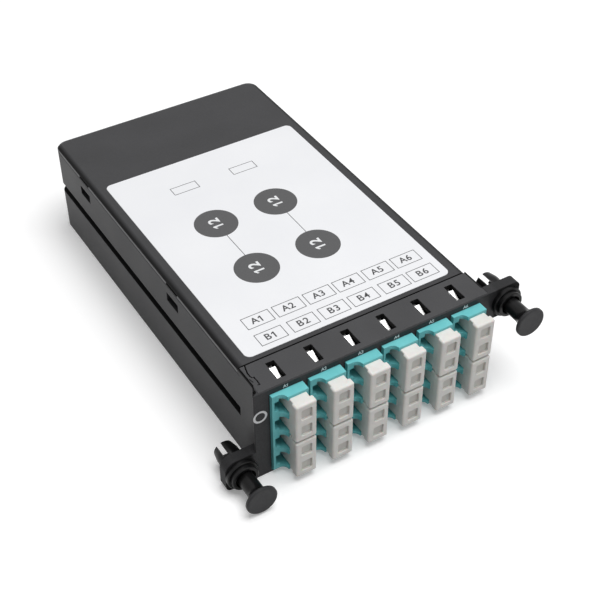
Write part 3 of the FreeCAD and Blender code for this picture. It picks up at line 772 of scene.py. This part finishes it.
def plain_one(tall):
    """The figure 1 without the font's foot; its corners are in hundredths of its height."""
    outline = ((-10, -50), (9, -50), (9, 50), (-7, 50), (-32, 31), (-32, 13), (-10, 27))
    corners = [(tall * across / 100, tall * up / 100, -INK / 2) for across, up in outline]
    return prism("figure", corners, (0, 0, INK))


def letter_of_font(letter, tall, bold):
    capital_share = 0.70
    bpy.ops.object.text_add(location=(0, 0, 0))
    shape = bpy.context.object
    shape.data.body = letter
    shape.data.align_x = "CENTER"
    shape.data.align_y = "CENTER"
    shape.data.size = tall / capital_share * MM
    shape.data.offset = bold * MM
    shape.data.extrude = INK / 2 * MM
    shape.data.resolution_u = 6
    bpy.ops.object.convert(target="MESH")
    return bpy.context.object


def words(text, x, y, tall, turn=0.0, z=LABEL_TOP, bold=0.0, tilt=0.0, advance=0.8):
    """Letters and figures of this height, in ink, side by side and centred on a place."""
    drawn = []
    for number, letter in enumerate(text):
        rest()
        shape = plain_one(tall) if letter == "1" else letter_of_font(letter, tall, bold)
        step = (number - (len(text) - 1) / 2) * advance * tall
        shape.data.transform(Matrix.Translation(mm(step, 0, 0)))
        drawn.append(shape)
    line = joined("words", drawn)
    line.data.transform(
        Matrix.Translation(mm(x, y, z + INK / 2))
        @ Matrix.Rotation(math.radians(turn), 4, "Z")
        @ Matrix.Rotation(math.radians(tilt), 4, "X")
    )
    return closed(line)


def printed_disc(x, y):
    rest()
    place = mm(x, y, LABEL_TOP)
    bpy.ops.mesh.primitive_circle_add(
        vertices=96, radius=6.05 * MM, fill_type="NGON", location=place
    )
    return shaped(added("disc"), "SOLIDIFY", thickness=INK * MM, offset=1)


def printed_line(x, front, rear):
    """A line between two discs, in a thinner film than theirs, so that they lie over it."""
    rest()
    bpy.ops.mesh.primitive_plane_add(size=1, location=mm(x, (front + rear) / 2, LABEL_TOP))
    strip = added("line", mm(INK_LINE, rear - front, 1))
    return shaped(strip, "SOLIDIFY", thickness=0.8 * INK * MM, offset=1)


def label_print():
    """Port numbers in outlined boxes, discs with fibre counts, lines that join them."""
    row_a = ((-24.9, -17.1), (-16.1, -8.1), (-7.1, 0.8), (1.7, 9.6), (10.7, 18.6), (19.6, 27.4))
    row_b = ((-24.9, -17.3), (-15.7, -8.1), (-6.8, 0.9), (2.0, 9.8), (11.3, 19.2), (20.1, 28.0))
    boxes = []
    figures = []
    for letter, row, front, rear in (("A", row_a, 20.1, 24.5), ("B", row_b, 13.4, 17.8)):
        for number, (left, right) in enumerate(row, 1):
            boxes.append(outlined_box(left, right, FRONT + front, FRONT + rear))
            middle = ((left + right) / 2, FRONT + (front + rear) / 2)
            figures.append(words(f"{letter}{number}", *middle, 2.1, bold=0.05, advance=0.88))
    for left, right in ((-15.1, -7.2), (3.6, 11.4)):
        boxes.append(outlined_box(left, right, FRONT + 78.7, FRONT + 82.1))
    for x in (-11.4, 7.4):
        boxes.append(printed_line(x, FRONT + 45.7, FRONT + 55.7))
    middles = ((-11.4, 61.6), (7.3, 61.7), (-11.3, 39.7), (7.4, 39.7))
    over = LABEL_TOP + INK + 0.002
    discs = [printed_disc(x, FRONT + y) for x, y in middles]
    counts = [words("12", x, FRONT + y, 3.0, turn=90, z=over, bold=0.12) for x, y in middles]
    belongs(joined("port_boxes", boxes), GREY_INK)
    belongs(joined("port_numbers", figures), DARK_INK)
    belongs(joined("fibre_discs", discs), GREY_INK)
    belongs(joined("fibre_counts", counts), WHITE_INK)


# Shells


def tray():
    """Floor, walls, front panel and ears in one moulding."""
    depth = REAR - FRONT
    plan = (
        (-PANEL_HALF, 0),
        (PANEL_HALF, 0),
        (HALF, PANEL_THICK),
        (HALF, depth),
        (-HALF, depth),
        (-HALF, PANEL_THICK),
    )
    shell = prism("tray", [(x, FRONT + y, 0) for x, y in plan], (0, 0, TOP))
    rounded(shell, 3.0, 8, lambda c: along_axis(c, 2) and level_with(c, 1, REAR))
    rounded(shell, 0.5, 3, lambda c: along_axis(c, 2) and level_with(c, 1, FRONT))
    for side, up, outer in ((-1, (0, 9.3), (9.3, 0)), (1, (19.35, TOP), (19.35, TOP))):
        ear = slab("ear", one_side(side, 33.0, EAR_HALF), (0, PANEL_THICK), up)
        for radius, level in zip((3.0, 1.6), outer):
            rounded(
                ear,
                radius,
                6,
                lambda c: along_axis(c, 1)
                and level_with(c, 0, side * EAR_HALF)
                and level_with(c, 2, level),
            )
        fused(shell, ear)
    carved(shell, slab("inside", (-31.2, 31.2), (PANEL_THICK, 119), (1, ABOVE)))
    seat = SHELF_HALF + SEAM
    carved(
        shell,
        slab("lid_seat", (-40, 40), (10.25, BEHIND), (WALL_TOP, ABOVE)),
        slab("shelf_seat", (-seat, seat), (0.5, 11), (SHELF_UNDER, ABOVE)),
    )
    for slot in cut_line([(-33.36, -57.3), (-34.42, -59.3)], 0.25, 0.8, TOP):
        carved(shell, slot)
    carved(shell, post("recess", 0.85, RECESS_X, RECESS_Y, (27.1, ABOVE)))
    cuts = []
    for column in COLUMNS:
        middle = column_x(column)
        wide = (middle - 4.55, middle + 4.55)
        cuts.append(slab("adapter_opening", wide, (AHEAD, 4), (0.5, 27.0)))
    carved(shell, *cuts)
    for side in (-1, 1):
        trunk = side * TRUNK_X
        outside = 35.0
        cuts = [
            slab("rail_groove", one_side(side, 32.1, outside), (9.65, BEHIND), (12.8, 15.7)),
            drum("ear_hole", 3.15, side * FASTENER_X, (AHEAD, 4), FASTENER_Z[side], 48),
            slab("rim_line", one_side(side, 33.42, outside), (9.2, 119), (26.8, 26.93)),
            slab("trunk_opening", (trunk - 6.5, trunk + 6.5), (118, BEHIND), (9.7, 18.9)),
        ]
        for middle in SNAPS:
            span = (middle - SNAP_HALF, middle + SNAP_HALF)
            cuts.append(slab("snap_window", one_side(side, 31.0, outside), span, (21.6, 24.4)))
            cuts.append(slab("rim_notch", one_side(side, 32.7, outside), span, (27.25, ABOVE)))
        carved(shell, *cuts)
    belongs(soften(shell, 0.18), BLACK, nodes=["base_tray"])


def crowned_lid():
    """A plate that rises from its side and rear edges in a low crown; hooks and rib below it."""
    inset = 0.2
    level = WALL_TOP + 0.04
    across = HALF - inset
    along = REAR - LID_FRONT - inset
    rest()
    bpy.ops.mesh.primitive_plane_add(size=1, location=mm(0, LID_FRONT + along / 2, level))
    plate = added("lid_plate", mm(2 * across, along, 1))
    pick(plate, "VERT", lambda c: c[0].y > 0)
    bpy.ops.mesh.bevel(offset=3.0 * MM, segments=8, affect="VERTICES")
    bpy.ops.mesh.select_all(action="SELECT")
    for inset, z in (
        (0.2, 27.85),
        (0.24, 28.02),
        (0.34, 28.19),
        (0.50, 28.35),
        (0.72, 28.48),
        (0.98, 28.57),
        (1.25, 28.625),
        (1.6, TOP),
    ):
        bpy.ops.mesh.extrude_region_move(TRANSFORM_OT_translate={"value": mm(0, 0, z - level)})
        growth = ((HALF - inset) / across, (REAR - LID_FRONT - inset) / along, 1)
        bpy.ops.transform.resize(value=growth, center_override=mm(0, LID_FRONT, z))
        level = z
        across = HALF - inset
        along = REAR - LID_FRONT - inset
    closed(plate)
    smooth(plate, 50)
    below = [slab("rib", (-31.1, 31.1), (10.3, 118.9), (27.1, WALL_TOP + 0.03))]
    for side in (-1, 1):
        for middle in SNAPS:
            span = (middle - SNAP_HALF + 0.2, middle + SNAP_HALF - 0.2)
            below.append(slab("stem", one_side(side, 29.9, 31.1), span, (21.9, 27.09)))
            below.append(slab("barb", one_side(side, 31.11, 32.3), span, (21.9, 23.8)))
    under = smooth(joined("lid_rib", below))
    lid = joined("lid", [plate, under])
    belongs(lid, LID, nodes=["cover_lid"])


def cut_line(points, wide, deep, level):
    """A cutter for a moulded line: a chain of thin blocks through these points."""
    blocks = []
    for (x0, y0), (x1, y1) in zip(points, points[1:]):
        rest()
        bpy.ops.mesh.primitive_cube_add(
            size=1,
            location=mm((x0 + x1) / 2, (y0 + y1) / 2, level),
            rotation=(0, 0, math.atan2(y1 - y0, x1 - x0)),
        )
        blocks.append(added("cut", mm(math.hypot(x1 - x0, y1 - y0) + wide, wide, 2 * deep)))
    return blocks


def front_shelf():
    """The shelf over the adapters, with its latch arm on the left parted by moulded lines."""
    half = ((33.46, 0.52), (33.46, 2.9), (SHELF_HALF, 3.1), (SHELF_HALF, 10.02))
    right = [(x, FRONT + y, SHELF_UNDER) for x, y in half]
    left = [(-x, y, z) for x, y, z in reversed(right)]
    shelf = prism("shelf", right + left, (0, 0, TOP - SHELF_UNDER))
    cuts = []
    for column in COLUMNS:
        middle = column_x(column)
        cuts.append(slab("window", (middle - 0.95, middle + 1.38), (2.2, 8.15), (26, ABOVE)))
    carved(shelf, *cuts)
    soften(shelf, 0.12)
    arm = (
        (-31.6, -50.2),
        (-32.05, -51.6),
        (-32.4, -53.0),
        (-32.4, -54.2),
        (-32.15, -54.8),
        (-31.75, -55.0),
        (-31.65, -56.4),
        (-31.75, -57.7),
        (-32.1, -57.6),
    )
    slant = ((-33.0, -55.1), (-32.72, -56.3))
    for line, wide in ((arm, 0.36), (slant, 0.2)):
        for block in cut_line(line, wide, 0.7, TOP):
            carved(shelf, block)
    smooth(shelf)
    belongs(shelf, SHELF, nodes=["front_shelf"])


def adapters():
    """Six adapters with four ports in each end, the latch side cut back to the left."""
    side = ((-2.8, 26.95), (-2.8, 1.45), (-0.9, 1.45), (0, 0.55), (3.2, 0.55), (3.2, 26.95))
    pattern = prism("adapter", [(-4.5, FRONT + y, z) for y, z in side], (9.0, 0, 0))
    fused(
        pattern,
        slab("flange", (-4.9, 4.9), (3.0, 4.6), (1.25, CLIP_SEAT)),
        slab("rear", (-4.5, 4.5), (4.5, 25.2), (1.25, CLIP_SEAT)),
    )
    carved(
        pattern,
        slab("latch_side", (-6, -2.95), (-4, -1.1), (BELOW, ABOVE)),
        post("latch_round", 1.7, -2.95, -2.8, (BELOW, ABOVE), 40),
    )
    port = (-2.7, 3.85)
    keyway = (-3.9, 0)
    for step in (-1.5, -0.5, 0.5, 1.5):
        level = PORT_MID + step * PORT_PITCH
        tall = (level - 2.35, level + 2.35)
        low = (level - 1.5, level + 1.5)
        carved(
            pattern,
            slab("front_port", port, (-4, 10.0), tall),
            slab("front_keyway", keyway, (-4, 9.9), low),
            slab("rear_port", port, (12.4, 27), tall),
            slab("rear_keyway", keyway, (12.5, 27), low),
        )
        carved(pattern, drum("sleeve_bore", 0.8, PORT_X, (9, 13.4), level, 24))
    soften(pattern, 0.11)
    copies(pattern, "adapter_", "lc_adapter_", AQUA)
    bpy.data.objects.remove(pattern)


def spring_clips():
    """Six hairpins of spring sheet, their free ends rising in the shelf windows."""
    side = (
        (11.0, 0),
        (4.2, 0),
        (4.08, 0.15),
        (4.2, 0.3),
        (6.9, 1.5),
        (7.11, 1.29),
        (4.68, 0.3),
        (11.0, 0.3),
    )
    pattern = prism("clip", [(-0.75, FRONT + y, CLIP_SEAT + z) for y, z in side], (1.85, 0, 0))
    soften(pattern, 0.05)
    copies(pattern, "clip_", "adapter_clip_", SPRING)
    bpy.data.objects.remove(pattern)


def dust_caps():
    """Twelve duplex caps: a rounded block with two pockets, a neck and two hollow prongs."""
    half = 5.975
    pocket_half = 1.6
    near = 0.01
    pattern = slab("cap", (-1.25, 4.6), (CAP_FACE, -4.55), (-half, half))
    rounded(pattern, 0.55, 5, lambda c: along_axis(c, 1) or level_with(c, 1, FRONT + CAP_FACE))
    pockets = []
    for middle in (-POCKET_RISE, POCKET_RISE):
        up = (middle - pocket_half, middle + pocket_half)
        pocket = slab("pocket", POCKET_ACROSS, (-7.5, -5.75), up)
        rounded(pocket, 0.35, 3, lambda c: along_axis(c, 1))
        pockets.append(pocket)
    carved(pattern, *pockets)

    def on_mouth(corners):
        """True for an edge of a pocket's mouth."""
        left, right = POCKET_ACROSS
        return level_with(corners, 1, FRONT + CAP_FACE) and all(
            (left - near) * MM < corner.x < (right + near) * MM
            and abs(abs(corner.z) - POCKET_RISE * MM) < (pocket_half + near) * MM
            for corner in corners
        )

    rounded(pattern, 0.2, 3, on_mouth)
    neck = slab("neck", (-0.9, 3.8), (-4.7, -2.85), (-half, half))
    rounded(neck, 0.3, 3, lambda c: along_axis(c, 1))
    fused(pattern, neck)
    for middle in (-PORT_PITCH / 2, PORT_PITCH / 2):
        prong = slab("prong", (-0.75, 3.65), (-3.0, 6.0), (middle - 2.2, middle + 2.2))
        rounded(prong, 0.25, 2, lambda c: along_axis(c, 1))
        fused(pattern, prong)
        carved(pattern, drum("bore", 1.7, PORT_X, (-2.7, 7), middle))
    smooth(pattern, 40)
    copies(pattern, "cap_a", "dust_cap_a", CAP, PORT_MID + PORT_PITCH)
    copies(pattern, "cap_b", "dust_cap_b", CAP, PORT_MID - PORT_PITCH)
    bpy.data.objects.remove(pattern)


def fasteners():
    """The push fasteners: a grommet with split fingers, and a plunger with a flat round knob."""
    bore = 2.28
    pin = 2.2
    flare_steps = 12
    slit_turn = 30
    ring = (
        (bore, 9.0),
        (bore, -1.2),
        (bore + 0.5, -2.4),
        (3.45, -2.4),
        (3.65, -2.2),
        (3.65, -1.2),
        (4.15, -1.2),
        (4.35, -1.0),
        (4.35, 0.0),
        (3.1, 0.0),
        (3.1, 3.3),
        (2.8, 3.9),
        (2.95, 4.8),
        (3.1, 5.9),
        (3.05, 6.9),
        (2.65, 9.0),
    )
    shares = [step / flare_steps for step in range(flare_steps + 1)]
    flare = [(pin + 2.0 * (1 - share) ** 2.4, -9.55 + 3.2 * share) for share in shares]
    stem = [(0.0, -10.32), (3.4, -10.35), (3.75, -10.4), (4.05, -10.32), (4.2, -10.12), (4.2, -9.7)]
    stem += flare + [(pin, 0.6), (1.9, 1.3), (1.32, 1.6), (0.0, 1.6)]
    for side, name in ((-1, "left"), (1, "right")):
        x = side * FASTENER_X
        z = FASTENER_Z[side]
        grommet = turned(f"{name}_grommet_ring", ring, x, z)
        for wide, tall in ((5, 0.25), (0.65, 5)):
            slit = slab("slit", (x - wide, x + wide), (5.0, 10), (z - tall, z + tall))
            edit(slit)
            bpy.ops.transform.rotate(
                value=math.radians(slit_turn),
                orient_axis="Y",
                center_override=mm(x, FRONT, z),
            )
            rest()
            carved(grommet, slit)
        smooth(grommet, 30)
        belongs(grommet, NYLON, nodes=[f"{name}_grommet"])
        plunger = turned(f"{name}_push_pin", stem, x, z, 64)
        smooth(plunger, 30)
        node = f"{name}_plunger"
        belongs(plunger, NYLON, BODY_OF[node], [node])


def trunk_ends():
    """The two adapters in the rear wall and their dust caps."""
    for letter, x in (("a", -TRUNK_X), ("b", TRUNK_X)):
        shell = slab(f"trunk_adapter_{letter}", (x - 6.4, x + 6.4), (97, 125), (9.8, 18.8))
        fused(shell, slab("flange", (x - 8.3, x + 8.3), (117.5, 119), (8.8, 19.8)))
        carved(
            shell,
            slab("inner_port", (x - 5, x + 5), (96, 109.5), (10.8, 17.8)),
            slab("outer_port", (x - 5, x + 5), (112.5, 126), (10.8, 17.8)),
        )
        soften(shell, 0.2)
        belongs(shell, AQUA, nodes=[f"mpo_adapter_{letter}"])
        cap = slab(f"trunk_cap_{letter}", (x - 6.2, x + 6.2), (125.05, 126.25), (10.0, 18.6))
        fused(cap, slab("plug", (x - 4.9, x + 4.9), (112.8, 125.3), (10.9, 17.7)))
        carved(cap, slab("cap_hollow", (x - 4.6, x + 4.6), (125.75, 127), (11.6, 17.0)))
        soften(cap, 0.22, 3)
        node = f"mpo_dust_cap_{letter}"
        belongs(cap, NYLON, BODY_OF[node], [node])


def front_marks():
    """The ring mark and the small port numbers printed on the front panel."""
    film = 0.012
    rest()
    bpy.ops.mesh.primitive_circle_add(
        vertices=64,
        radius=1.9 * MM,
        fill_type="NGON",
        location=mm(-33.45, FRONT - 0.002, 20.95),
        rotation=(math.pi / 2, 0, 0),
    )
    ring = added("ring_mark")
    edit(ring)
    bpy.ops.mesh.inset(thickness=0.6 * MM)
    bpy.ops.mesh.delete(type="FACE")
    rest()
    shaped(ring, "SOLIDIFY", thickness=film * MM, offset=0)
    closed(ring)
    belongs(ring, PALE_INK)
    tags = []
    for column in COLUMNS:
        place = (column_x(column), FRONT - film)
        tags.append(words(f"A{column}", *place, 0.95, z=27.75, tilt=90, bold=0.03))
    belongs(joined("panel_numbers", tags), PALE_INK)


# All pieces

look()
studio()
tray()
crowned_lid()
front_shelf()
label_sheet()
label_print()
front_marks()
adapters()
spring_clips()
dust_caps()
fasteners()
trunk_ends()

# The pieces inside stay as they were packed, with these finishes.
INNER = {f"lc_plugs_{column}": BEIGE for column in COLUMNS}
INNER.update({f"mpo_plug_{letter}": BEIGE for letter in "ab"})
INNER.update({f"fibre_legs_{letter}": JACKET for letter in "ab"})
for node, finish in INNER.items():
    mesh = frame["nodes"][node].data
    mesh.materials.clear()
    mesh.materials.append(finish.material)
